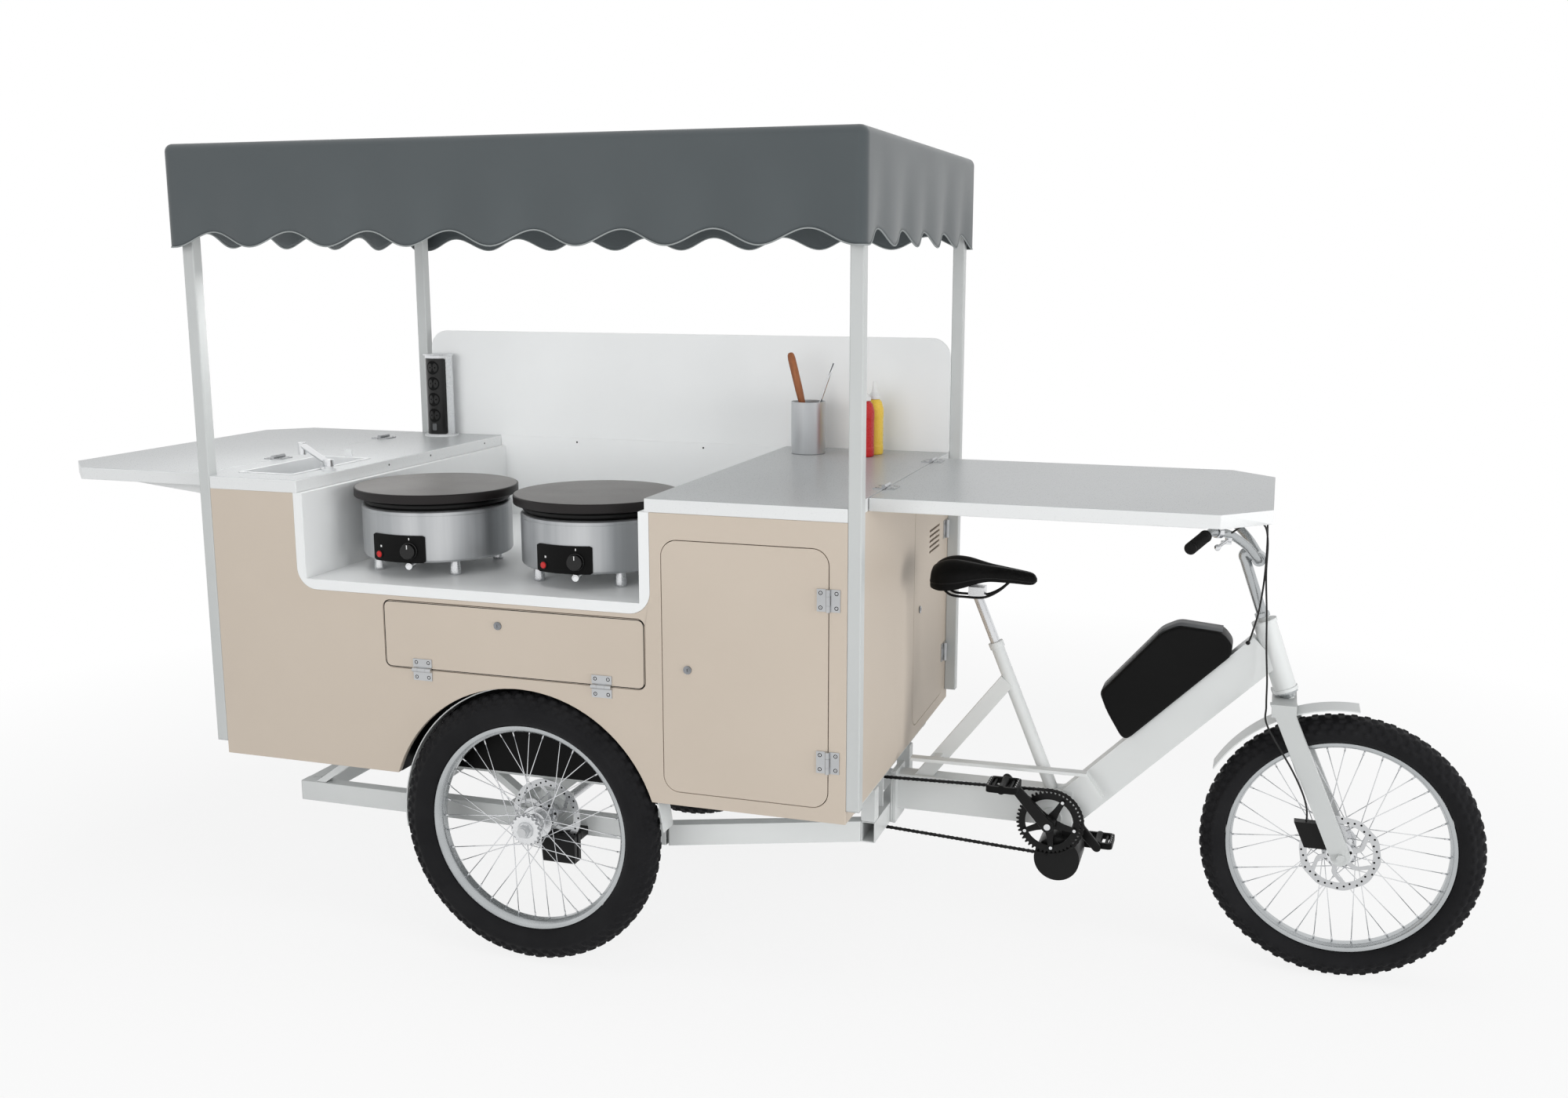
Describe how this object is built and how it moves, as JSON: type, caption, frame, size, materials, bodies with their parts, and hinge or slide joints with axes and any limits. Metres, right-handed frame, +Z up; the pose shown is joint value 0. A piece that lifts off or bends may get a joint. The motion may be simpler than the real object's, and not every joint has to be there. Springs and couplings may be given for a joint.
{
  "type": "bicycle food cart",
  "caption": "Three-wheeled pedal cart with a counter box, round griddles in a recess, sink, fold-up tables, locking doors and a fabric canopy on posts.",
  "frame": {"origin": "on the ground, at the middle of the cart's length and width", "axes": "+X forward along the cart, +Y to the rider's left, +Z up"},
  "size_m": [4.005, 1.289, 2.197],
  "materials": {
    "white_paint": "satin",
    "beige_board": "painted satin",
    "white_board": "laminated",
    "grey_top": "laminated",
    "slate_cloth": "woven",
    "steel": "brushed",
    "chrome": "polished",
    "alloy": "satin",
    "iron": "seasoned",
    "black_plastic": "matt",
    "tank_plastic": "matt",
    "bottle_plastic": "gloss",
    "black_metal": "satin",
    "tyre": "matt",
    "grip_rubber": "matt",
    "saddle_cover": "matt"
  },
  "bodies": {
    "cart": {"chassis": "white_paint", "bike_frame": "white_paint", "axle_carriers": "white_paint", "rear_calipers": "black_metal", "rear_guards": "white_paint", "wheel_arches": "black_plastic", "battery": "black_plastic", "motor": "black_metal", "chain": "steel", "box_panels": "beige_board", "inner_panels": "white_board", "recess_tub": "white_board", "counters": "grey_top", "sink_fittings": "steel", "water_tanks": "tank_plastic", "roof_frame": "white_paint", "canopy": "slate_cloth", "backsplash": "white_board", "griddle_housings": "steel", "griddle_plates": "iron", "counter_ware": "bottle_plastic", "hinge_leaves": "steel"},
    "side_door": {"side_door": "beige_board", "side_door_hinges": "steel"},
    "side_lock": {"side_door_lock": "chrome"},
    "drop_door": {"drop_door": "beige_board", "drop_door_hinges": "steel"},
    "drop_lock": {"drop_door_lock": "chrome"},
    "front_door": {"front_door": "beige_board", "front_door_hinges": "steel"},
    "front_lock": {"front_door_lock": "chrome"},
    "rear_table": {"rear_table": "grey_top", "rear_table_hinges": "steel"},
    "front_table": {"front_table": "grey_top", "front_table_hinges": "steel"},
    "spout": {"faucet_spout": "chrome"},
    "tower": {"power_tower": "alloy"},
    "knob_rear": {"griddle_knob_rear": "black_plastic"},
    "knob_front": {"griddle_knob_front": "black_plastic"},
    "steering": {"fork": "white_paint", "handlebar": "chrome", "grips": "grip_rubber", "brake_cables": "black_plastic", "front_mudguard": "white_paint", "front_caliper": "black_metal"},
    "lever_right": {"brake_lever_right": "alloy"},
    "lever_left": {"brake_lever_left": "alloy"},
    "front_wheel": {"front_tyre": "tyre", "front_wheel": "alloy"},
    "rear_axle": {"rear_axle": "steel", "rear_tyre_right": "tyre", "rear_wheel_right": "alloy"},
    "left_wheel": {"rear_tyre_left": "tyre", "rear_wheel_left": "alloy"},
    "crank": {"crankset": "black_metal"},
    "pedal_right": {"pedal_right": "black_plastic"},
    "pedal_left": {"pedal_left": "black_plastic"},
    "seat": {"seatpost": "alloy", "saddle": "saddle_cover"}
  },
  "joints": [
    {"name": "side_door_swing", "type": "hinge", "parent": "cart", "child": "side_door", "pos_m": [0.3995, -0.6088, 0.86], "axis": [0, 0, 1], "range_deg": [0, 165]},
    {"name": "side_lock_turn", "type": "hinge", "parent": "side_door", "child": "side_lock", "pos_m": [0.0245, -0.6025, 0.862], "axis": [0, -1, 0], "range_deg": [0, 90]},
    {"name": "drop_door_swing", "type": "hinge", "parent": "cart", "child": "drop_door", "pos_m": [-0.4795, -0.6088, 0.797], "axis": [1, 0, 0], "range_deg": [0, 90]},
    {"name": "drop_lock_turn", "type": "hinge", "parent": "drop_door", "child": "drop_lock", "pos_m": [-0.5165, -0.6025, 0.937], "axis": [0, -1, 0], "range_deg": [0, 90]},
    {"name": "front_door_swing", "type": "hinge", "parent": "cart", "child": "front_door", "pos_m": [0.4528, 0.534, 0.86], "axis": [0, 0, 1], "range_deg": [0, 110]},
    {"name": "front_lock_turn", "type": "hinge", "parent": "front_door", "child": "front_lock", "pos_m": [0.4465, 0.192, 0.876], "axis": [1, 0, 0], "range_deg": [0, 90]},
    {"name": "rear_table_fold", "type": "hinge", "parent": "cart", "child": "rear_table", "pos_m": [-1.4618, 0, 1.3063], "axis": [0, 1, 0], "range_deg": [0, 100]},
    {"name": "front_table_fold", "type": "hinge", "parent": "cart", "child": "front_table", "pos_m": [0.4482, 0, 1.3063], "axis": [0, -1, 0], "range_deg": [0, 80]},
    {"name": "spout_swivel", "type": "hinge", "parent": "cart", "child": "spout", "pos_m": [-1.1575, -0.398, 1.32], "axis": [0, 0, 1], "range_deg": [-90, 90]},
    {"name": "tower_slide", "type": "slide", "parent": "cart", "child": "tower", "axis": [0, 0, 1], "range_m": [-0.27, 0]},
    {"name": "knob_rear_turn", "type": "hinge", "parent": "cart", "child": "knob_rear", "pos_m": [-0.83066, -0.51564, 1.105], "axis": [0.1564, -0.9877, 0], "range_deg": [0, 270]},
    {"name": "knob_front_turn", "type": "hinge", "parent": "cart", "child": "knob_front", "pos_m": [-0.32566, -0.51564, 1.105], "axis": [0.1564, -0.9877, 0], "range_deg": [0, 270]},
    {"name": "steering_turn", "type": "hinge", "parent": "cart", "child": "steering", "pos_m": [1.4835, 0, 0.774], "axis": [-0.3322, 0, 0.9432], "range_deg": [-24, 24], "deforming": ["brake_cables"]},
    {"name": "lever_right_pull", "type": "hinge", "parent": "steering", "child": "lever_right", "pos_m": [1.3205, -0.148, 1.196], "axis": [0, 0, -1], "range_deg": [0, 11], "stiffness_Nm_per_rad": 4},
    {"name": "lever_left_pull", "type": "hinge", "parent": "steering", "child": "lever_left", "pos_m": [1.3205, 0.148, 1.196], "axis": [0, 0, 1], "range_deg": [0, 11], "stiffness_Nm_per_rad": 4},
    {"name": "front_wheel_spin", "type": "hinge", "parent": "steering", "child": "front_wheel", "pos_m": [1.6425, 0, 0.36], "axis": [0, 1, 0], "continuous": true},
    {"name": "rear_axle_spin", "type": "hinge", "parent": "cart", "child": "rear_axle", "pos_m": [-0.4465, 0, 0.378], "axis": [0, 1, 0], "continuous": true},
    {"name": "left_wheel_spin", "type": "hinge", "parent": "cart", "child": "left_wheel", "pos_m": [-0.4465, 0.58, 0.378], "axis": [0, 1, 0], "continuous": true},
    {"name": "crank_spin", "type": "hinge", "parent": "cart", "child": "crank", "pos_m": [0.8835, 0, 0.36], "axis": [0, 1, 0], "continuous": true},
    {"name": "pedal_right_spin", "type": "hinge", "parent": "crank", "child": "pedal_right", "pos_m": [0.76975, -0.16, 0.48633], "axis": [0, 1, 0], "continuous": true},
    {"name": "pedal_left_spin", "type": "hinge", "parent": "crank", "child": "pedal_left", "pos_m": [0.99725, 0.16, 0.23367], "axis": [0, 1, 0], "continuous": true},
    {"name": "seat_slide", "type": "slide", "parent": "cart", "child": "seat", "axis": [-0.3833, 0, 0.9236], "range_m": [-0.05, 0.1]}
  ],
  "couplings": [
    {"joint": "crank_spin", "follows": "rear_axle_spin", "ratio": 0.43478}
  ]
}
